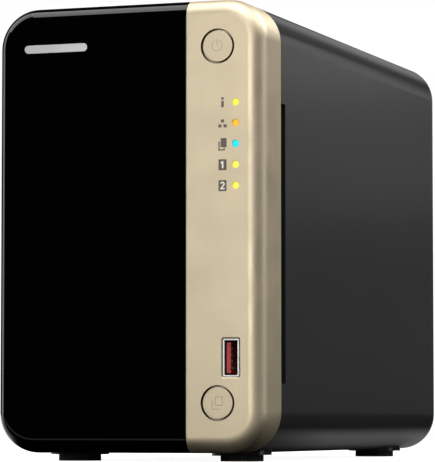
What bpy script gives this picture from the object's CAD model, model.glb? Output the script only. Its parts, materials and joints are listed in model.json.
"""Looks for an upright two-bay network storage enclosure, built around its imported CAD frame.

Metres, +Z up, the front faces -Y. Places come from the CAD nodes' boxes; the few sizes that a box
can't give are named below in millimetres and turned into metres by MM.
"""

import json
import math

import bmesh
import bpy
from mathutils import Matrix, Vector

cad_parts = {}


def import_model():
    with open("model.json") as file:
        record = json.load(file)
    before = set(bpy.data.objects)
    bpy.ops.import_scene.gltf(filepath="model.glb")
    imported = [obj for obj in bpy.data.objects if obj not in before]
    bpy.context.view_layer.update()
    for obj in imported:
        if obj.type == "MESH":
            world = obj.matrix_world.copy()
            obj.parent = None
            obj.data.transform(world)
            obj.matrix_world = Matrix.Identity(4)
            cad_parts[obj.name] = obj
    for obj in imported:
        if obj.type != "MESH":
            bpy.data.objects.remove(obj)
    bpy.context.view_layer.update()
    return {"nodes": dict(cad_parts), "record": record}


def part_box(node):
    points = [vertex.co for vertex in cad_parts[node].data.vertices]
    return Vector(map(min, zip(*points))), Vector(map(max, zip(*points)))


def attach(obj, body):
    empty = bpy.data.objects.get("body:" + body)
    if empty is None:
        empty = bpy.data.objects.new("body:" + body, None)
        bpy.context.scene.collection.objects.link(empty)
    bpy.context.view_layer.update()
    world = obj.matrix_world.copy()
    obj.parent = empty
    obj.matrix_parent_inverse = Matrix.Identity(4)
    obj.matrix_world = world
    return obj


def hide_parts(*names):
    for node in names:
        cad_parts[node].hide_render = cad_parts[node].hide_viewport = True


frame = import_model()

MM = 0.001
NODE = frame["nodes"]
RECORD = frame["record"]
SLOT_OF = {entry["node"]: entry["material_slot"] for entry in RECORD["subparts"]}

# Sizes of the moulded shells
WALL = 2.2 * MM
CORNER_R = 15 * MM
EDGE_R = 6 * MM
SEAM_EDGE = 0.5 * MM

# Main planes
SLEEVE_LOW, SLEEVE_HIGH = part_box("case_sleeve")
COVER_LOW, COVER_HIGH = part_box("front_cover")
COLUMN_LOW, COLUMN_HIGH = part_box("control_column")
BODY_W = SLEEVE_HIGH.x - SLEEVE_LOW.x
BODY_TOP = SLEEVE_HIGH.z
BODY_BOTTOM = COVER_LOW.z
BODY_H = BODY_TOP - BODY_BOTTOM
BODY_MID_Z = (BODY_TOP + BODY_BOTTOM) / 2
FRONT_Y = COVER_LOW.y
SLEEVE_Y = SLEEVE_LOW.y
BACK_Y = SLEEVE_HIGH.y
INNER_Y = FRONT_Y + WALL
COVER_RIM_Y = FRONT_Y + 20.1 * MM

# A cut plane this far out cuts nothing
FAR = 1
# How far a cutter runs on past the face that it opens
CUT_PAST = 10 * MM
# How deep posts and bosses are set into the wall they stand on
EMBED = 0.4 * MM
# Edges sharper than this, in degrees, are shaded as edges, and those past the next are rounded
SHADE_ANGLE = 32
BEVEL_ANGLE = 35


# ---------------------------------------------------------------- mesh helpers

def link(name, mesh):
    """A new object for a mesh, linked to the scene."""
    obj = bpy.data.objects.new(name, mesh)
    bpy.context.scene.collection.objects.link(obj)
    return obj


def to_object(name, bm):
    """Turns a bmesh into an object with outward normals."""
    bmesh.ops.recalc_face_normals(bm, faces=bm.faces)
    mesh = bpy.data.meshes.new(name)
    bm.to_mesh(mesh)
    bm.free()
    return link(name, mesh)


def add_box(bm, low, high):
    """A box between two opposite corners."""
    low, high = Vector(low), Vector(high)
    matrix = Matrix.Translation((low + high) / 2) @ Matrix.Diagonal((*(high - low), 1))
    bmesh.ops.create_cube(bm, size=1, matrix=matrix)


AXIS_TURN = {
    "x": Matrix.Rotation(math.radians(90), 4, "Y"),
    "y": Matrix.Rotation(math.radians(-90), 4, "X"),
    "z": Matrix.Identity(4),
}


def add_rod(bm, start, length, radius, axis="y", steps=32):
    """A closed cylinder from a start point along an axis."""
    turn = AXIS_TURN[axis]
    middle = Vector(start) + turn @ Vector((0, 0, length / 2))
    bmesh.ops.create_cone(bm, cap_ends=True, segments=steps, radius1=radius, radius2=radius,
                          depth=length, matrix=Matrix.Translation(middle) @ turn)


def add_lathe(bm, profile, origin, axis="y", steps=48):
    """Turns (radius, height) pairs about an axis. A radius of 0 closes an end."""
    turn = Matrix.Translation(Vector(origin)) @ AXIS_TURN[axis]
    rings = []
    for radius, height in profile:
        if radius == 0:
            rings.append([bm.verts.new(turn @ Vector((0, 0, height)))])
            continue
        ring = []
        for i in range(steps):
            a = 2 * math.pi * i / steps
            at = Vector((radius * math.cos(a), radius * math.sin(a), height))
            ring.append(bm.verts.new(turn @ at))
        rings.append(ring)
    for one, two in zip(rings, rings[1:]):
        for i in range(steps):
            j = (i + 1) % steps
            corners = [one[i % len(one)], one[j % len(one)], two[j % len(two)], two[i % len(two)]]
            unique = list(dict.fromkeys(corners))
            if len(unique) > 2:
                bm.faces.new(unique)


def add_prism(bm, outline, y0, y1):
    """An (x, z) outline extruded from y0 to y1."""
    front = [bm.verts.new((x, y0, z)) for x, z in outline]
    back = [bm.verts.new((x, y1, z)) for x, z in outline]
    bm.faces.new(front)
    bm.faces.new(back)
    for i in range(len(outline)):
        j = (i + 1) % len(outline)
        bm.faces.new((front[i], front[j], back[j], back[i]))


def rounded_loop(w, h, r, cx, cz, steps):
    """Points of a rectangle with round corners, as (x, z)."""
    points = []
    for sx, sz, start in ((1, 1, 0), (-1, 1, 90), (-1, -1, 180), (1, -1, 270)):
        for i in range(steps + 1):
            a = math.radians(start + 90 * i / steps)
            points.append((cx + sx * (w / 2 - r) + r * math.cos(a),
                           cz + sz * (h / 2 - r) + r * math.sin(a)))
    return points


def body_loop(inset, steps=20):
    """The outline of the case, drawn in by an inset."""
    return rounded_loop(BODY_W - 2 * inset, BODY_H - 2 * inset, CORNER_R - inset, 0, BODY_MID_Z, steps)


def add_loft(bm, rings):
    """Joins rings of 3-D points with quads and caps both ends."""
    rows = [[bm.verts.new(p) for p in ring] for ring in rings]
    for one, two in zip(rows, rows[1:]):
        for i in range(len(one)):
            j = (i + 1) % len(one)
            bm.faces.new((one[i], one[j], two[j], two[i]))
    bm.faces.new(rows[0])
    bm.faces.new(rows[-1])


def front_block(name, inset, y_back, x_low, x_high, face_y=FRONT_Y):
    """A solid with the case outline and a rounded front edge, kept between two X planes."""
    bm = bmesh.new()
    radius = EDGE_R - inset
    y_front = face_y + inset
    fillet_steps = 12
    rings = [[(x, y_back, z) for x, z in body_loop(inset)]]
    for i in range(fillet_steps + 1):
        a = math.radians(90 * i / fillet_steps)
        y = y_front + radius * (1 - math.sin(a))
        rings.append([(x, y, z) for x, z in body_loop(inset + radius * (1 - math.cos(a)))])
    add_loft(bm, rings)
    for x, sign in ((x_low, -1), (x_high, 1)):
        if abs(x) < BODY_W:
            geom = bm.verts[:] + bm.edges[:] + bm.faces[:]
            bmesh.ops.bisect_plane(bm, geom=geom, plane_co=(x, 0, 0), plane_no=(sign, 0, 0),
                                   clear_outer=True)
            edges = [e for e in bm.edges if len(e.link_faces) == 1]
            bmesh.ops.holes_fill(bm, edges=edges)
    return to_object(name, bm)


def apply_modifiers(obj):
    """Replaces an object's mesh with what its modifiers make."""
    graph = bpy.context.evaluated_depsgraph_get()
    mesh = bpy.data.meshes.new_from_object(obj.evaluated_get(graph))
    old = obj.data
    obj.modifiers.clear()
    obj.data = mesh
    bpy.data.meshes.remove(old)


def boolean(obj, cutter, operation="DIFFERENCE"):
    """Cuts or joins another object, which is then removed."""
    modifier = obj.modifiers.new("boolean", "BOOLEAN")
    modifier.object = cutter
    modifier.operation = operation
    modifier.solver = "EXACT"
    apply_modifiers(obj)
    bpy.data.objects.remove(cutter)


def add_flared(bm, w, h, r, cx, cz, flare, y_face, y_end):
    """A cutter for an opening whose mouth widens by a flare at the face."""
    rings = []
    for y, grow in ((y_face - 2 * flare, flare * 3), (y_face + flare, 0), (y_end, 0)):
        loop = rounded_loop(w + 2 * grow, h + 2 * grow, r + grow, cx, cz, 10)
        rings.append([(x, y, z) for x, z in loop])
    add_loft(bm, rings)


def add_round_mouth(bm, radius, cx, cz, flare, y_face, y_end, steps=72):
    """A round cutter whose mouth widens by a flare at the face."""
    profile = [(0, y_face - 2 * flare), (radius + 3 * flare, y_face - 2 * flare),
               (radius, y_face + flare), (radius, y_end), (0, y_end)]
    add_lathe(bm, profile, (cx, 0, cz), "y", steps)


def cutter(shapes):
    """One object from a function that draws into a bmesh."""
    bm = bmesh.new()
    shapes(bm)
    return to_object("cutter", bm)


# ---------------------------------------------------------------- edges and shading

def smooth_group():
    """Geometry nodes that shade smooth, except across edges sharper than SHADE_ANGLE."""
    group = bpy.data.node_groups.new("shade_by_angle", "GeometryNodeTree")
    group.interface.new_socket("Geometry", in_out="INPUT", socket_type="NodeSocketGeometry")
    group.interface.new_socket("Geometry", in_out="OUTPUT", socket_type="NodeSocketGeometry")
    start = group.nodes.new("NodeGroupInput")
    end = group.nodes.new("NodeGroupOutput")
    faces = group.nodes.new("GeometryNodeSetShadeSmooth")
    edges = group.nodes.new("GeometryNodeSetShadeSmooth")
    edges.domain = "EDGE"
    edges.inputs["Shade Smooth"].default_value = False
    angle = group.nodes.new("GeometryNodeInputMeshEdgeAngle")
    above = group.nodes.new("FunctionNodeCompare")
    above.operation = "GREATER_THAN"
    above.inputs[1].default_value = math.radians(SHADE_ANGLE)
    group.links.new(start.outputs[0], faces.inputs["Geometry"])
    group.links.new(faces.outputs[0], edges.inputs["Geometry"])
    group.links.new(angle.outputs["Unsigned Angle"], above.inputs[0])
    group.links.new(above.outputs[0], edges.inputs["Selection"])
    group.links.new(edges.outputs[0], end.inputs[0])
    return group


SHADE_BY_ANGLE = smooth_group()


def soften(obj, width, segments=2):
    """Rounds an object's sharp edges a little, and shades its curves smooth."""
    weld = obj.modifiers.new("weld", "WELD")
    weld.merge_threshold = 1e-6
    if width:
        bevel = obj.modifiers.new("bevel", "BEVEL")
        bevel.width = width
        bevel.segments = segments
        bevel.limit_method = "ANGLE"
        bevel.angle_limit = math.radians(BEVEL_ANGLE)
        bevel.miter_outer = "MITER_ARC"
    shade = obj.modifiers.new("shade", "NODES")
    shade.node_group = SHADE_BY_ANGLE
    weighted = obj.modifiers.new("normals", "WEIGHTED_NORMAL")
    weighted.keep_sharp = True


# ---------------------------------------------------------------- materials

def shader(name):
    """A new material and its principled shader."""
    mat = bpy.data.materials.new(name)
    mat.use_nodes = True
    return mat, mat.node_tree, mat.node_tree.nodes["Principled BSDF"]


def noise(tree, scale, detail=3.0, rough=0.5):
    """A noise texture in object coordinates, in metres."""
    node = tree.nodes.new("ShaderNodeTexNoise")
    node.inputs["Scale"].default_value = scale
    node.inputs["Detail"].default_value = detail
    node.inputs["Roughness"].default_value = rough
    coords = tree.nodes.new("ShaderNodeTexCoord")
    tree.links.new(coords.outputs["Object"], node.inputs["Vector"])
    return node.outputs["Fac"]


def spread(tree, value, low, high, start=0.3, end=0.7):
    """Maps a value between start and end to one between low and high."""
    node = tree.nodes.new("ShaderNodeMapRange")
    node.inputs["From Min"].default_value = start
    node.inputs["From Max"].default_value = end
    node.inputs["To Min"].default_value = low
    node.inputs["To Max"].default_value = high
    tree.links.new(value, node.inputs["Value"])
    return node.outputs["Result"]


def blend_colors(tree, factor, one, two):
    """A mix of two colours by a factor."""
    node = tree.nodes.new("ShaderNodeMix")
    node.data_type = "RGBA"
    tree.links.new(factor, node.inputs["Factor"])
    for socket, value in ((node.inputs["A"], one), (node.inputs["B"], two)):
        if isinstance(value, (tuple, list)):
            socket.default_value = (*value[:3], 1)
        else:
            tree.links.new(value, socket)
    return node.outputs["Result"]


def calculate(tree, operation, *values):
    """A maths node fed by sockets or numbers."""
    node = tree.nodes.new("ShaderNodeMath")
    node.operation = operation
    for socket, value in zip(node.inputs, values):
        if isinstance(value, (int, float)):
            socket.default_value = value
        else:
            tree.links.new(value, socket)
    return node.outputs[0]


def edge_mask(tree, radius):
    """1 on the convex edges of a piece and 0 on its faces, from a rounded normal."""
    bevel = tree.nodes.new("ShaderNodeBevel")
    bevel.inputs["Radius"].default_value = radius
    geometry = tree.nodes.new("ShaderNodeNewGeometry")
    dot = tree.nodes.new("ShaderNodeVectorMath")
    dot.operation = "DOT_PRODUCT"
    tree.links.new(bevel.outputs[0], dot.inputs[0])
    tree.links.new(geometry.outputs["Normal"], dot.inputs[1])
    return spread(tree, dot.outputs["Value"], 1, 0, 0.8, 0.99)


def bumped(tree, bsdf, layers):
    """Stacks noise bumps on a shader. Each layer is (scale, height in metres, strength)."""
    normal = None
    for scale, height, strength in layers:
        bump = tree.nodes.new("ShaderNodeBump")
        bump.inputs["Distance"].default_value = height
        bump.inputs["Strength"].default_value = strength
        tree.links.new(noise(tree, scale, 2.0), bump.inputs["Height"])
        if normal is not None:
            tree.links.new(normal, bump.inputs["Normal"])
        normal = bump.outputs["Normal"]
    if normal is not None:
        tree.links.new(normal, bsdf.inputs["Normal"])


def surface(name, color, rough, metal=0.0, shade=0.12, patch=45.0, rough_spread=0.06,
            bumps=(), speckle=None, wear=None, ior=1.5):
    """A procedural finish: colour patches, roughness patches, grain, and worn edges.

    speckle is (scale, colour, amount) for flakes; wear is (radius, colour) for rubbed edges.
    """
    mat, tree, bsdf = shader(name)
    cloudy = noise(tree, patch, 4.0)
    dark = tuple(c * (1 - shade) for c in color)
    light = tuple(min(1.0, c * (1 + shade)) for c in color)
    tint = blend_colors(tree, spread(tree, cloudy, 0, 1), dark, light)
    if speckle:
        scale, flake, amount = speckle
        grains = spread(tree, noise(tree, scale, 1.0), 0, amount, 0.5, 0.8)
        tint = blend_colors(tree, grains, tint, flake)
    if wear:
        radius, bare = wear
        tint = blend_colors(tree, edge_mask(tree, radius), tint, bare)
    tree.links.new(tint, bsdf.inputs["Base Color"])
    smudge = noise(tree, patch * 2.3, 5.0, 0.6)
    low, high = max(0.02, rough - rough_spread), min(1.0, rough + rough_spread)
    tree.links.new(spread(tree, smudge, low, high), bsdf.inputs["Roughness"])
    bsdf.inputs["Metallic"].default_value = metal
    bsdf.inputs["IOR"].default_value = ior
    bumped(tree, bsdf, bumps)
    return mat


def lit(name, color, strength):
    """A light pipe that glows, less so where its surface turns away from the eye."""
    mat, tree, bsdf = shader(name)
    bsdf.inputs["Base Color"].default_value = (*[c * 0.2 for c in color], 1)
    bsdf.inputs["Roughness"].default_value = 0.25
    cloudy = noise(tree, 900.0, 1.0)
    pale = tuple(min(1.0, c + 0.05) for c in color)
    tint = blend_colors(tree, spread(tree, cloudy, 0, 1), color, pale)
    tree.links.new(tint, bsdf.inputs["Emission Color"])
    bsdf.inputs["Specular IOR Level"].default_value = 0.15
    facing = tree.nodes.new("ShaderNodeLayerWeight")
    rim = spread(tree, facing.outputs["Facing"], strength, 0.5 * strength, 0.12, 0.75)
    tree.links.new(rim, bsdf.inputs["Emission Strength"])
    return mat


CHAMPAGNE = (0.66, 0.565, 0.40)
GRAIN = (2600.0, 0.00003, 0.25)
MATERIAL = {
    "cover": surface("cover", (0.0004, 0.0004, 0.0005), 0.05, shade=0.3, patch=30, rough_spread=0.02,
                     bumps=((60.0, 0.00002, 0.02),), ior=1.46),
    "badge": surface("badge", (0.60, 0.60, 0.60), 0.42, metal=0.25, bumps=((1800.0, 0.00002, 0.2),)),
    "column": surface("column", CHAMPAGNE, 0.5, metal=0.85, shade=0.03, patch=24, rough_spread=0.05,
                      bumps=(GRAIN, (500.0, 0.00003, 0.08)),
                      speckle=(5200.0, (0.95, 0.86, 0.68), 0.35)),
    "button": surface("button", CHAMPAGNE, 0.5, metal=0.85, shade=0.03, patch=30, rough_spread=0.05,
                      bumps=(GRAIN,), speckle=(5200.0, (0.95, 0.86, 0.68), 0.35)),
    "light_yellow": lit("light_yellow", (1.0, 0.93, 0.08), 0.95),
    "light_amber": lit("light_amber", (0.95, 0.52, 0.012), 0.88),
    "light_cyan": lit("light_cyan", (0.010, 0.80, 1.0), 0.88),
    "usb_red": surface("usb_red", (0.42, 0.02, 0.022), 0.35, shade=0.1, patch=200,
                       bumps=((3000.0, 0.00002, 0.15),)),
    "usb_dark": surface("usb_dark", (0.010, 0.008, 0.008), 0.5, shade=0.2, patch=300),
    "usb_notch": surface("usb_notch", (0.10, 0.008, 0.009), 0.45, shade=0.15, patch=300),
    "usb_blue": surface("usb_blue", (0.015, 0.07, 0.42), 0.35, shade=0.1, patch=200,
                        bumps=((3000.0, 0.00002, 0.15),)),
    "case": surface("case", (0.028, 0.028, 0.029), 0.2, shade=0.03, patch=18, rough_spread=0.006,
                    bumps=((3200.0, 0.00002, 0.08),)),
    "rubber": surface("rubber", (0.014, 0.014, 0.014), 0.75, shade=0.2, patch=120,
                      bumps=((1600.0, 0.00006, 0.4),)),
    "steel": surface("steel", (0.60, 0.61, 0.62), 0.38, metal=1.0, shade=0.05, patch=120, rough_spread=0.05,
                     bumps=((1900.0, 0.00002, 0.15),)),
    "dark_steel": surface("dark_steel", (0.05, 0.05, 0.055), 0.36, metal=0.9, shade=0.2, patch=300,
                          bumps=((2500.0, 0.00003, 0.3),), wear=(0.0003, (0.3, 0.3, 0.31))),
    "port_steel": surface("port_steel", (0.80, 0.80, 0.81), 0.36, metal=0.9, shade=0.03, patch=150,
                          rough_spread=0.02, bumps=((1500.0, 0.00002, 0.1),)),
    "magnet": surface("magnet", (0.55, 0.55, 0.57), 0.25, metal=1.0, bumps=((1500.0, 0.00002, 0.1),)),
    "rear_paint": surface("rear_paint", (0.034, 0.034, 0.036), 0.5, shade=0.15, patch=60,
                          bumps=((1500.0, 0.00007, 0.4), (4200.0, 0.00003, 0.3)),
                          wear=(0.00025, (0.10, 0.10, 0.10))),
    "inner_plastic": surface("inner_plastic", (0.018, 0.018, 0.019), 0.5, shade=0.15, patch=70,
                             bumps=((2400.0, 0.00004, 0.3),)),
    "tray_plastic": surface("tray_plastic", (0.020, 0.020, 0.021), 0.42, shade=0.12, patch=60,
                            bumps=((2800.0, 0.00004, 0.3),), wear=(0.0002, (0.07, 0.07, 0.07))),
    "lever_plastic": surface("lever_plastic", (0.030, 0.030, 0.031), 0.36, shade=0.12, patch=60,
                             bumps=((2800.0, 0.00003, 0.3),), wear=(0.0002, (0.08, 0.08, 0.08))),
    "clip_plastic": surface("clip_plastic", (0.16, 0.16, 0.17), 0.45, bumps=((2400.0, 0.00003, 0.25),)),
    "fan_plastic": surface("fan_plastic", (0.013, 0.013, 0.013), 0.4, shade=0.15, patch=80,
                           bumps=((1800.0, 0.00003, 0.2),)),
    "board": surface("board", (0.008, 0.085, 0.030), 0.32, shade=0.25, patch=220, rough_spread=0.08,
                     speckle=(420.0, (0.02, 0.20, 0.07), 0.7), bumps=((700.0, 0.00004, 0.2),)),
    "chip": surface("chip", (0.014, 0.014, 0.015), 0.5, shade=0.2, patch=400,
                    bumps=((3500.0, 0.00003, 0.3),)),
    "ribbon": surface("ribbon", (0.50, 0.50, 0.52), 0.45, bumps=((900.0, 0.00004, 0.15),)),
    "lead_sheath": surface("lead_sheath", (0.012, 0.012, 0.012), 0.6, bumps=((2600.0, 0.00008, 0.5),)),
    "brass": surface("brass", (0.72, 0.50, 0.20), 0.28, metal=1.0, bumps=((2000.0, 0.00002, 0.2),)),
    "aluminium": surface("aluminium", (0.66, 0.67, 0.68), 0.4, metal=1.0, shade=0.06,
                         bumps=((2600.0, 0.00003, 0.3),)),
    "reset_white": surface("reset_white", (0.62, 0.62, 0.61), 0.4, bumps=((2000.0, 0.00002, 0.2),)),
}
PRINT = surface("print", (0.125, 0.10, 0.080), 0.55, shade=0.2, patch=900, bumps=((4000.0, 0.00002, 0.2),))
FAINT_PRINT = surface("faint_print", (0.40, 0.335, 0.235), 0.5, metal=0.2, shade=0.1, patch=900,
                      bumps=((4000.0, 0.00002, 0.2),))
PALE_PRINT = surface("pale_print", (0.90, 0.86, 0.78), 0.55, shade=0.06, patch=900,
                     bumps=((4000.0, 0.00002, 0.2),))
SHADOW_WALL = surface("shadow_wall", (0.022, 0.016, 0.008), 0.6, shade=0.2, patch=200)
USB_RIM = surface("usb_rim", (0.86, 0.84, 0.83), 0.38, metal=0.25, shade=0.04, patch=300,
                  bumps=((1500.0, 0.00002, 0.12),))
LAMP_GREEN = surface("lamp_green", (0.10, 0.42, 0.14), 0.25, shade=0.1, patch=400)
LAMP_AMBER = surface("lamp_amber", (0.62, 0.33, 0.05), 0.25, shade=0.1, patch=400)
GOLD = surface("gold", (0.85, 0.60, 0.22), 0.22, metal=1.0, bumps=((2000.0, 0.00002, 0.1),))


def place(obj, body, slot, mat=None, replaces=(), bevel=0.15 * MM, segments=2):
    """Gives a new piece its material, edges, body and slot."""
    obj.data.materials.clear()
    obj.data.materials.append(mat or MATERIAL[slot])
    soften(obj, bevel, segments)
    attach(obj, body)
    if replaces:
        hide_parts(*replaces)
    return obj


def line_walls(obj, mat, inside, lean=0.5):
    """Gives faces that turn away from the front, inside a region, their own material."""
    obj.data.materials.append(mat)
    index = len(obj.data.materials) - 1
    for face in obj.data.polygons:
        if abs(face.normal.y) < lean and inside(face.center):
            face.material_index = index


# ---------------------------------------------------------------- front cover

def rods(bm, node_posts, radius, y0, y1):
    """Rods along Y at several (x, z) places."""
    for x, z in node_posts:
        add_rod(bm, (x, y0, z), y1 - y0, radius)


POSTS = [(x * MM, z * MM) for x in (-42, 14) for z in (20, 161.4)]
LOW_MAGNETS = [(x * MM, 34 * MM) for x in (-42, 14)]
HIGH_MAGNETS = [(x * MM, 161.4 * MM) for x in (-30, 0)]


def front_cover():
    """The gloss black shell, with its locating posts and magnet bosses."""
    right = COVER_HIGH.x
    shell = front_block("cover_shell", 0, COVER_RIM_Y, -FAR, right)
    boolean(shell, front_block("hollow", WALL, COVER_RIM_Y + CUT_PAST, -FAR, right - WALL))

    def front_cuts(bm):
        # Grip dimples in two columns, and the seat of the badge
        for col in range(2):
            for row in range(4):
                x, z = (-38.7 + 3.1 * col) * MM, (84.3 - 3.65 * row) * MM
                rings = []
                for depth, w in ((-0.36, 2.7), (0.12, 1.1)):
                    loop = rounded_loop(w * MM, w * MM, 0.25 * MM, x, z, 4)
                    rings.append([(px, FRONT_Y + depth * MM, pz) for px, pz in loop])
                add_loft(bm, rings)
        low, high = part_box("cover_badge")
        w, h = high.x - low.x, high.z - low.z
        outline = rounded_loop(w, h, h * 0.48, (low.x + high.x) / 2, (low.z + high.z) / 2, 10)
        add_prism(bm, outline, FRONT_Y - 1 * MM, high.y)

    boolean(shell, cutter(front_cuts))
    place(shell, "cover", "cover", replaces=("front_cover",), bevel=SEAM_EDGE)
    bm = bmesh.new()
    boss_end = COVER_RIM_Y - 3 * MM
    rods(bm, POSTS, 2 * MM, INNER_Y - EMBED, COVER_HIGH.y)
    rods(bm, HIGH_MAGNETS, 4 * MM, INNER_Y - EMBED, boss_end)
    rods(bm, LOW_MAGNETS, 5 * MM, INNER_Y - EMBED, boss_end)
    posts = to_object("cover_posts", bm)
    place(posts, "cover", "cover", bevel=0.3 * MM)


front_cover()


# ---------------------------------------------------------------- control column

def middle_of(node):
    """The middle of a CAD node's box."""
    low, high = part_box(node)
    return (low + high) / 2


SEAM_X = COLUMN_LOW.x
COLUMN_FACE_Y = FRONT_Y + 0.03 * MM
BUTTONS = {node: middle_of(node) for node in ("power_button", "copy_button")}
BUTTON_R = 5.75 * MM
BUTTON_GAP = 0.6 * MM
LIGHT_R = 1.3 * MM
LIGHT_PITCH = 7.57 * MM
LIGHT_X = middle_of("status_light").x
LIGHT_Z = [middle_of("status_light").z - i * LIGHT_PITCH for i in range(5)]
USB = middle_of("front_usb_shell")
USB_MOUTH = (6.5 * MM, 13.95 * MM)
USB_PITCH = 2.5 * MM


def control_column():
    """The satin champagne moulding, with holes for buttons, lights and the USB port."""
    shell = front_block("column_shell", 0, COVER_RIM_Y, SEAM_X, FAR, COLUMN_FACE_Y)
    boolean(shell, front_block("hollow", WALL, COVER_RIM_Y + CUT_PAST, SEAM_X + WALL, FAR, COLUMN_FACE_Y))
    through = INNER_Y + 1 * MM

    def holes(bm):
        for at in BUTTONS.values():
            add_round_mouth(bm, BUTTON_R + BUTTON_GAP, at.x, at.z, 0.12 * MM, COLUMN_FACE_Y, through, 96)
        for z in LIGHT_Z:
            add_round_mouth(bm, LIGHT_R + 0.05 * MM, LIGHT_X, z, 0.05 * MM, COLUMN_FACE_Y, through, 40)
        add_flared(bm, *USB_MOUTH, 0.55 * MM, USB.x, USB.z, 0.42 * MM, COLUMN_FACE_Y, through)

    boolean(shell, cutter(holes))
    place(shell, "chassis", "column", replaces=("control_column",), bevel=0.18 * MM, segments=3)

    reach = BUTTON_R + 1.5 * MM
    line_walls(shell, SHADOW_WALL,
               lambda at: abs(at.x - USB.x) < 4 * MM and abs(at.z - USB.z) < 8 * MM)
    line_walls(shell, SHADOW_WALL,
               lambda at: any(math.hypot(at.x - b.x, at.z - b.z) < reach for b in BUTTONS.values()), 0.9)
    # Two screw bosses and two locating posts
    bore_r, boss_r, boss_end, boss_start = 1.3 * MM, 3 * MM, 14.5 * MM, WALL - EMBED
    boss = [(bore_r, boss_end), (boss_r, boss_end), (boss_r, boss_start), (bore_r, boss_start),
            (bore_r, boss_end)]
    bm = bmesh.new()
    for z in (42 * MM, 138 * MM):
        add_lathe(bm, boss, (COLUMN_LOW.x + 8 * MM, FRONT_Y, z), "y", 32)
    for z in (16 * MM, 146 * MM):
        add_rod(bm, (47.2 * MM, INNER_Y - EMBED, z), COLUMN_HIGH.y - INNER_Y + EMBED, 2 * MM)
    place(to_object("column_posts", bm), "chassis", "column", bevel=0.2 * MM)


control_column()


def usb_port():
    """A dark lining inside the front port's shell, and contacts along one side of its tongue."""
    low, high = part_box("front_usb_shell")
    w, h, thick = 5.08 * MM, 12.58 * MM, 0.1 * MM
    mouth = low.y + 0.55 * MM
    bm = bmesh.new()
    rings = []
    for drawn_in, y in ((0, high.y - 0.9 * MM), (0, mouth), (thick, mouth), (thick, high.y - 1.1 * MM)):
        loop = rounded_loop(w - drawn_in, h - drawn_in, 0.3 * MM, USB.x, USB.z, 5)
        rings.append([(x, y, z) for x, z in loop])
    add_loft(bm, rings)
    place(to_object("usb_lining", bm), "chassis", "port_steel", MATERIAL["usb_dark"], bevel=0)
    low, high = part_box("front_usb_tongue")
    side, front = high.x, low.y
    bm = bmesh.new()
    for i in range(5):
        z = USB.z + (i - 2) * 2.1 * MM
        add_box(bm, (side - 0.42 * MM, front - 0.02 * MM, z - 0.45 * MM),
                (side + 0.03 * MM, front + 0.9 * MM, z + 0.45 * MM))
    place(to_object("usb_notches", bm), "chassis", "usb_red", MATERIAL["usb_notch"], bevel=0)
    bm = bmesh.new()
    for i in range(4):
        z = USB.z + (i - 1.5) * USB_PITCH
        add_box(bm, (side - 0.1 * MM, front + 1.6 * MM, z - 0.5 * MM),
                (side + 0.06 * MM, front + 9 * MM, z + 0.5 * MM))
    place(to_object("usb_contacts", bm), "chassis", "usb_red", GOLD, bevel=0)


usb_port()


def buttons():
    """Two round buttons: a face with a soft rim, a flange behind the panel, and a stem."""
    for node, at in BUTTONS.items():
        low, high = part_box(node)
        face, flange = low.y - at.y, INNER_Y + 0.1 * MM - at.y
        face_y = low.y
        r = BUTTON_R
        soft = 0.22 * MM
        rim = [(r - soft + soft * math.sin(a), face + soft * (1 - math.cos(a)))
               for a in [math.radians(d) for d in range(0, 91, 15)]]
        flange_r, stem_r = 7.05 * MM, 2 * MM
        flange_back, stem_end = flange + 1.2 * MM, high.y - at.y
        profile = [(0, face), (r * 0.6, face), *rim, (r, flange), (flange_r, flange),
                   (flange_r, flange_back), (stem_r, flange_back), (stem_r, stem_end), (0, stem_end)]
        bm = bmesh.new()
        add_lathe(bm, profile, at, "y", 96)
        button = place(to_object(node + "_moulding", bm), node, "button", replaces=(node,), bevel=0)
        line_walls(button, SHADOW_WALL, lambda point: point.y > face_y + soft * 0.5)


buttons()


def lights():
    """Light pipes with a slightly domed end, wider behind the panel."""
    names = ["status_light", "network_light", "copy_light", "disk_lights", "disk_lights"]
    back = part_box("status_light")[1].y
    for i, (node, z) in enumerate(zip(names, LIGHT_Z)):
        face = FRONT_Y + 0.04 * MM
        dome = [(LIGHT_R * math.sin(a), face + 0.3 * MM * (1 - math.cos(a)))
                for a in [math.radians(d) for d in (18, 36, 54, 72, 90)]]
        step, wide = INNER_Y + 7 * MM, LIGHT_R + 0.5 * MM
        profile = [(0, face), *dome, (LIGHT_R, step), (wide, step), (wide, back), (0, back)]
        bm = bmesh.new()
        add_lathe(bm, profile, (LIGHT_X, 0, z), "y", 40)
        slot = SLOT_OF[node]
        # The fourth and fifth pipes share a node, which is replaced once
        replaces = () if i == 4 else (node,)
        place(to_object("pipe_%d" % (i + 1), bm), "chassis", slot, replaces=replaces, bevel=0)


lights()


# ---------------------------------------------------------------- printed marks

# Strokes that cross lie at slightly different depths
INK_STEP = 0.001 * MM


def print_piece(name, body, shapes, y_front, thick=0.02 * MM, mat=None):
    """Ink on a front face: every shape is an (x, z) outline in millimetres, thinner than paper."""
    bm = bmesh.new()
    for i, outline in enumerate(shapes):
        sunk = i % 3 * INK_STEP
        add_prism(bm, [(x * MM, z * MM) for x, z in outline], y_front + sunk, y_front + thick + sunk)
    obj = to_object(name, bm)
    obj.data.materials.append(mat or PRINT)
    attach(obj, body)


def bar(x0, z0, x1, z1):
    """A plain rectangle outline."""
    return [(x0, z0), (x1, z0), (x1, z1), (x0, z1)]


def stroke(x0, z0, x1, z1, w):
    """A straight stroke of some width between two points."""
    dx, dz = x1 - x0, z1 - z0
    length = math.hypot(dx, dz)
    nx, nz = -dz / length * w / 2, dx / length * w / 2
    return [(x0 + nx, z0 + nz), (x0 - nx, z0 - nz), (x1 - nx, z1 - nz), (x1 + nx, z1 + nz)]


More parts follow.
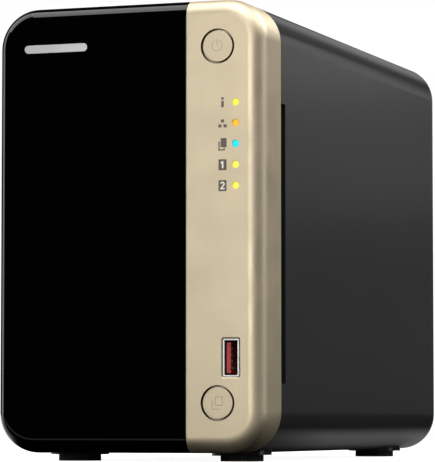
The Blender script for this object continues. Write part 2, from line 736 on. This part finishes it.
def arc(cx, cz, r, start, end, w, steps=28):
    """Short strokes along an arc, in degrees."""
    points = []
    for i in range(steps + 1):
        a = math.radians(start + (end - start) * i / steps)
        points.append((cx + r * math.cos(a), cz + r * math.sin(a)))
    return [stroke(*one, *two, w) for one, two in zip(points, points[1:])]


def disc(cx, cz, r, steps=24):
    """A round dot."""
    return [(cx + r * math.cos(2 * math.pi * i / steps), cz + r * math.sin(2 * math.pi * i / steps))
            for i in range(steps)]


def frame_of(x0, z0, x1, z1, w):
    """The four sides of a rectangle, drawn as bars."""
    return [bar(x0, z0, x1, z0 + w), bar(x0, z1 - w, x1, z1), bar(x0, z0 + w, x0 + w, z1 - w),
            bar(x1 - w, z0 + w, x1, z1 - w)]


def light_marks():
    """Marks beside the five lights: status, network, copy, and the disk numbers."""
    x = LIGHT_X / MM - 4.95
    z = [at / MM for at in LIGHT_Z]
    ink = [disc(x, z[0] + 1.4, 0.52), bar(x - 0.5, z[0] - 1.8, x + 0.5, z[0] + 0.5)]
    for dx, dz in ((0, 0.78), (-1.0, -1.02), (1.0, -1.02)):
        ink.append(bar(x + dx - 0.62, z[1] + dz - 0.55, x + dx + 0.62, z[1] + dz + 0.55))
    ink.append(bar(x - 0.75, z[2] - 1.2, x + 1.6, z[2] + 2.1))
    ink += [bar(x - 1.6, z[2] - 2.4, x - 1.1, z[2] + 0.85), bar(x - 1.1, z[2] - 2.4, x + 0.9, z[2] - 1.9),
            bar(x - 1.1, z[2] + 0.4, x - 0.95, z[2] + 0.85), bar(x + 0.4, z[2] - 1.9, x + 0.9, z[2] - 1.4)]
    for zc in (z[3], z[4]):
        ink.append(rounded_loop(3.1, 4.0, 0.35, x, zc, 4))
    print_piece("light_marks", "chassis", ink, FRONT_Y + 0.014 * MM)
    one = [stroke(x + 0.05, z[3] - 1.25, x + 0.05, z[3] + 1.25, 0.6),
           stroke(x + 0.15, z[3] + 1.2, x - 0.65, z[3] + 0.6, 0.5)]
    two = [stroke(x - 0.8, z[4] - 1.08, x + 0.85, z[4] - 1.08, 0.5),
           stroke(x - 0.6, z[4] - 1.0, x + 0.6, z[4] + 0.35, 0.5)]
    two += arc(x, z[4] + 0.55, 0.64, -25, 165, 0.5, 12)
    print_piece("disk_digits", "chassis", one + two, FRONT_Y + 0.003 * MM, 0.006 * MM, PALE_PRINT)


light_marks()


def button_marks():
    """Faint marks on the buttons: power, and two overlapping sheets."""
    at = BUTTONS["power_button"]
    x, z = at.x / MM - 0.2, at.z / MM + 0.2
    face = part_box("power_button")[0].y
    ink = arc(x, z, 1.95, 118, 422, 0.3) + [stroke(x, z + 0.1, x, z + 2.5, 0.3)]
    print_piece("power_mark", "power_button", ink, face - 0.012 * MM, mat=FAINT_PRINT)
    at = BUTTONS["copy_button"]
    x, z = at.x / MM, at.z / MM
    ink = frame_of(x - 1.0, z - 0.9, x + 1.9, z + 2.4, 0.26) + [
        bar(x - 2.2, z - 2.3, x - 1.94, z + 1.2), bar(x - 1.94, z - 2.3, x + 0.6, z - 2.04)]
    print_piece("copy_mark", "copy_button", ink, face - 0.012 * MM, mat=FAINT_PRINT)


button_marks()


# ---------------------------------------------------------------- case sleeve

SLOT_D = 4.8 * MM
SLOT_Z = (28.5 * MM, 131.2 * MM)
FEET = [(x * MM, y * MM) for x in (-32.5, 32.5) for y in (-79, 90)]
PANEL_SCREWS = [(-47.3 * MM, 60 * MM), (-47.3 * MM, 146 * MM), (47.3 * MM, 152 * MM)]
PANEL_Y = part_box("rear_panel")[0].y
CASE_PIECES = []


def case_sleeve():
    """The matte wrap: a round-cornered tube with intake slots, foot plinths and screw bosses."""
    bm = bmesh.new()
    outer, inner = body_loop(0, 28), body_loop(WALL, 28)
    rings = []
    for loop, y in ((outer, SLEEVE_Y), (outer, BACK_Y), (inner, BACK_Y), (inner, SLEEVE_Y)):
        rings.append([bm.verts.new((x, y, z)) for x, z in loop])
    for one, two in zip(rings, rings[1:] + rings[:1]):
        for i in range(len(one)):
            j = (i + 1) % len(one)
            bm.faces.new((one[i], one[j], two[j], two[i]))
    sleeve = to_object("sleeve", bm)

    def plinths(bm):
        for x, y in FEET:
            add_rod(bm, (x, y, BODY_BOTTOM - 0.8 * MM), 2.6 * MM, 11 * MM, "z", 96)

    boolean(sleeve, cutter(plinths), "UNION")

    def cuts(bm):
        for side in (-1, 1):
            x = side * BODY_W / 2
            add_box(bm, (x - 4 * MM, SLEEVE_Y - 1 * MM, SLOT_Z[0]),
                    (x + 4 * MM, SLEEVE_Y + SLOT_D, SLOT_Z[1]))
        for x, y in FEET:
            add_rod(bm, (x, y, 0), BODY_BOTTOM + WALL + 1 * MM, 2.5 * MM, "z")

    boolean(sleeve, cutter(cuts))
    CASE_PIECES.append(place(sleeve, "chassis", "case", replaces=("case_sleeve",), bevel=0.25 * MM))
    bm = bmesh.new()
    for x, z in PANEL_SCREWS:
        add_rod(bm, (x, 96 * MM, z), PANEL_Y - 96 * MM, 3.7 * MM)
        wall_x = math.copysign(BODY_W / 2 - 0.6 * MM, x)
        add_box(bm, (min(x, wall_x), 97 * MM, z - 1 * MM), (max(x, wall_x), PANEL_Y - 0.2 * MM, z + 1 * MM))
    place(to_object("sleeve_bosses", bm), "chassis", "case", bevel=0.2 * MM)


case_sleeve()


# ---------------------------------------------------------------- rear ports

def boxes(name, slot, mat, corners, bevel=0.0):
    """One chassis piece made of several boxes, each given by two corners."""
    bm = bmesh.new()
    for low, high in corners:
        add_box(bm, low, high)
    place(to_object(name, bm), "chassis", slot, mat, bevel=bevel)


JACK_HALF = 8 * MM
PIN_PITCH = 1.02 * MM
DISPLAY_PITCH = 1.0 * MM


def around(x0, x1, y0, y1, z, half):
    """Two corners of a box that reaches half above and half below z."""
    return (x0, y0, z - half), (x1, y1, z + half)


def rear_ports():
    """Contacts, liners and lights inside the rear sockets."""
    low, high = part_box("network_jacks")
    x0, mouth = low.x, high.y
    pins, liners, green, amber = [], [], [], []
    for z in (low.z + JACK_HALF, high.z - JACK_HALF):
        for i in range(8):
            zi = z + (i - 3.5) * PIN_PITCH
            pins.append(around(x0 + 2 * MM, x0 + 2.9 * MM, mouth - 12.6 * MM, mouth - 3 * MM, zi, 0.17 * MM))
        liners.append(around(x0 + 2.1 * MM, x0 + 10.9 * MM, mouth - 12.9 * MM, mouth - 12.4 * MM,
                             z, 5.8 * MM))
        for side in (-1, 1):
            edge = z + side * 5.85 * MM
            inner = edge - side * 0.25 * MM
            liners.append(((x0 + 2.1 * MM, mouth - 12.8 * MM, min(edge, inner)),
                           (x0 + 8.9 * MM, mouth - 0.35 * MM, max(edge, inner))))
        for side, lamp in ((-1, green), (1, amber)):
            zi = z + side * 5.0 * MM
            lamp.append(around(x0 + 9.6 * MM, x0 + 11.6 * MM, mouth - 1.5 * MM, mouth - 0.02 * MM,
                               zi, 1.2 * MM))
    boxes("jack_pins", "port_steel", GOLD, pins)
    boxes("jack_liners", "port_steel", MATERIAL["inner_plastic"], liners)
    boxes("jack_lamps_green", "port_steel", LAMP_GREEN, green, 0.15 * MM)
    boxes("jack_lamps_amber", "port_steel", LAMP_AMBER, amber, 0.15 * MM)

    low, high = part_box("rear_usb_tongues")
    contacts = []
    for z in (low.z + 5.6 * MM, high.z - 5.6 * MM):
        for x in (low.x, low.x + 8.5 * MM):
            for i in range(4):
                zi = z + (i - 1.5) * USB_PITCH
                contacts.append(around(x + 1.7 * MM, x + 1.86 * MM, high.y - 9 * MM, high.y - 1.2 * MM,
                                       zi, 0.5 * MM))
    boxes("rear_usb_contacts", "usb_blue", GOLD, contacts)

    low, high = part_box("display_socket")
    middle = (low + high) / 2
    tongue = around(middle.x - 0.9 * MM, middle.x + 0.4 * MM, low.y + 2.6 * MM, high.y - 1.2 * MM,
                    middle.z, 5.6 * MM)
    boxes("display_tongue", "port_steel", MATERIAL["inner_plastic"], [tongue], 0.15 * MM)
    contacts = []
    for i in range(10):
        zi = middle.z + (i - 4.5) * DISPLAY_PITCH
        contacts.append(around(middle.x + 0.35 * MM, middle.x + 0.47 * MM, low.y + 4 * MM,
                               high.y - 1.8 * MM, zi, 0.15 * MM))
    boxes("display_contacts", "port_steel", GOLD, contacts)


rear_ports()


# ---------------------------------------------------------------- CAD nodes that stay

# Edge rounding in millimetres, where it differs from the default
BEVEL_OF = {"rear_panel": 0, "fan_guard": 0, "drive_cage": 0.12, "front_frame": 0.25, "fan_frame": 0.3,
            "heat_sink": 0.12, "front_usb_shell": 0.06, "front_usb_tongue": 0.12, "cover_badge": 0.08,
            "network_jacks": 0.15, "panel_screws": 0.15, "fan_screws": 0.15}
DEFAULT_BEVEL = 0.2


def dress_cad_nodes():
    """Every CAD node gets its material and softened edges."""
    for name, obj in NODE.items():
        mat = USB_RIM if name == "front_usb_shell" else MATERIAL[SLOT_OF[name]]
        if not obj.data.materials:
            obj.data.materials.append(mat)
        for index in range(len(obj.material_slots)):
            obj.material_slots[index].link = "OBJECT"
            obj.material_slots[index].material = mat
        soften(obj, BEVEL_OF.get(name, DEFAULT_BEVEL) * MM)


dress_cad_nodes()


# ---------------------------------------------------------------- stage, light and camera

def soft_box(name, place_at, aim, size, glow, color=(1, 1, 1)):
    """A rectangular light of even brightness, aimed at a point. size is (across, up)."""
    light = bpy.data.lights.new(name, "AREA")
    light.energy = glow * math.pi * size[0] * size[1]
    light.color = color
    light.shape = "RECTANGLE"
    light.size, light.size_y = size
    obj = bpy.data.objects.new(name, light)
    obj.location = place_at
    obj.rotation_euler = (Vector(aim) - Vector(place_at)).to_track_quat("-Z", "Y").to_euler()
    obj.visible_camera = False
    bpy.context.scene.collection.objects.link(obj)
    return obj


def leave_out(light, pieces):
    """Keeps a light off some pieces."""
    group = bpy.data.collections.new(light.name + "_leaves_out")
    for piece in pieces:
        group.objects.link(piece)
    for entry in group.collection_objects:
        entry.light_linking.link_state = "EXCLUDE"
    light.light_linking.receiver_collection = group


def world():
    """White to the camera, nearly black in reflections, dim in the shadows."""
    sky = bpy.data.worlds.new("studio")
    bpy.context.scene.world = sky
    sky.use_nodes = True
    tree = sky.node_tree
    path = tree.nodes.new("ShaderNodeLightPath")
    dim = spread(tree, path.outputs["Is Glossy Ray"], 0.22, 0.006, 0, 1)
    mix = tree.nodes.new("ShaderNodeMix")
    tree.links.new(path.outputs["Is Camera Ray"], mix.inputs["Factor"])
    tree.links.new(dim, mix.inputs["A"])
    mix.inputs["B"].default_value = 1.0
    background = tree.nodes["Background"]
    background.inputs["Color"].default_value = (1, 1, 1, 1)
    tree.links.new(mix.outputs["Result"], background.inputs["Strength"])


def pale_floor():
    """A pale disc that fades out. Reflections see it dark, with pools behind and beside, and a strip."""
    bm = bmesh.new()
    bmesh.ops.create_circle(bm, cap_ends=True, segments=96, radius=0.9)
    floor = to_object("floor", bm)
    mat = bpy.data.materials.new("floor")
    mat.use_nodes = True
    tree = mat.node_tree
    tree.nodes.remove(tree.nodes["Principled BSDF"])
    pale = tree.nodes.new("ShaderNodeBsdfDiffuse")
    pale.inputs["Color"].default_value = (0.35, 0.35, 0.35, 1)
    glow = tree.nodes.new("ShaderNodeEmission")
    glow.inputs["Strength"].default_value = 0.95
    seen = tree.nodes.new("ShaderNodeAddShader")
    tree.links.new(pale.outputs[0], seen.inputs[0])
    tree.links.new(glow.outputs[0], seen.inputs[1])
    dark = tree.nodes.new("ShaderNodeBsdfDiffuse")
    coords = tree.nodes.new("ShaderNodeTexCoord")
    apart = tree.nodes.new("ShaderNodeSeparateXYZ")
    tree.links.new(coords.outputs["Object"], apart.inputs[0])
    behind = spread(tree, apart.outputs["Y"], 0.0, 1.0, -0.1, 0.0)
    left = spread(tree, apart.outputs["X"], 0.7, 0.0, -0.063, -0.053)
    beside = calculate(tree, "MULTIPLY", left, spread(tree, apart.outputs["Y"], 0.0, 1.0, -0.12, -0.105))
    near = spread(tree, apart.outputs["X"], 0.28, 0.0, 0.050, 0.062)
    strip = calculate(tree, "COMPARE", apart.outputs["Y"], FRONT_Y - 25 * MM, 8.5 * MM)
    pool = calculate(tree, "MAXIMUM", calculate(tree, "MULTIPLY", behind, near), beside)
    tone = calculate(tree, "ADD", pool, calculate(tree, "MULTIPLY", strip, 0.24))
    tree.links.new(tone, dark.inputs["Color"])
    path = tree.nodes.new("ShaderNodeLightPath")
    either = tree.nodes.new("ShaderNodeMixShader")
    tree.links.new(path.outputs["Is Camera Ray"], either.inputs["Fac"])
    tree.links.new(dark.outputs[0], either.inputs[1])
    tree.links.new(seen.outputs[0], either.inputs[2])
    clear = tree.nodes.new("ShaderNodeBsdfTransparent")
    mix = tree.nodes.new("ShaderNodeMixShader")
    reach = tree.nodes.new("ShaderNodeVectorMath")
    reach.operation = "LENGTH"
    tree.links.new(coords.outputs["Object"], reach.inputs[0])
    tree.links.new(spread(tree, reach.outputs["Value"], 0, 1, 0.35, 0.88), mix.inputs["Fac"])
    tree.links.new(either.outputs[0], mix.inputs[1])
    tree.links.new(clear.outputs[0], mix.inputs[2])
    tree.links.new(mix.outputs[0], tree.nodes["Material Output"].inputs["Surface"])
    floor.data.materials.append(mat)


def lights_and_camera():
    """Soft boxes over, beside, in front of and behind the case, and the camera."""
    scene = bpy.context.scene
    scene.view_settings.view_transform = "Standard"
    middle = (0, 0, BODY_MID_Z)
    soft_box("over", (0, -0.34, 1.2), (0, -0.34, 0), (1.2, 0.91), 3.1)
    over_front = soft_box("over_front", (0.2, -0.8, 1.1), (0.04, -0.1, 0.16), (0.4, 0.5), 8.0)
    soft_box("over_left", (-0.85, -0.17, 0.95), (-0.2, -0.17, 0.3), (0.74, 0.72), 2.3)
    soft_box("left", (-1.1, 0.0, 0.3), (0, 0.0, 0.3), (0.4, 0.8), 1.8)
    front = soft_box("front", (0.003, -1.1, 0.155), middle, (0.458, 0.512), 5.4, (1.0, 0.99, 0.97))
    for light in (over_front, front):
        leave_out(light, CASE_PIECES)
    soft_box("right", (1.3, 0.2, 0.25), middle, (0.4, 0.5), 1.9)
    soft_box("right_high", (0.95, -0.15, 1.05), middle, (0.5, 0.5), 6.0)
    soft_box("behind_right", (0.565, 1.5, 0.48), (0.565, 0, 0.48), (0.37, 0.30), 0.48)
    soft_box("behind_right_mid", (0.565, 1.5, 0.27), (0.565, 0, 0.27), (0.37, 0.12), 0.2)
    soft_box("behind_right_top", (0.47, 1.5, 0.57), (0.47, 0, 0.57), (0.2, 0.12), 0.45)
    soft_box("behind_right_low", (0.56, 1.5, 0.11), (0.56, 0, 0.11), (0.5, 0.2), 0.06)
    soft_box("behind_left", (-0.12, 1.5, 0.675), (-0.12, 0, 0.675), (0.36, 0.35), 0.36)
    soft_box("rear_top", (0.95, 1.0, 1.1), middle, (0.9, 0.7), 8.0)

    camera_data = bpy.data.cameras.new("camera")
    camera_data.lens = 225.6
    camera = bpy.data.objects.new("camera", camera_data)
    camera.location = (0.39077, -1.09434, 0.01449)
    yaw, pitch = math.radians(19.921), math.radians(3.777)
    aim = Vector((-math.sin(yaw) * math.cos(pitch), math.cos(yaw) * math.cos(pitch), math.sin(pitch)))
    camera.rotation_euler = aim.to_track_quat("-Z", "Y").to_euler()
    camera_data.clip_start = 0.01
    scene.collection.objects.link(camera)
    scene.camera = camera


world()
pale_floor()
lights_and_camera()
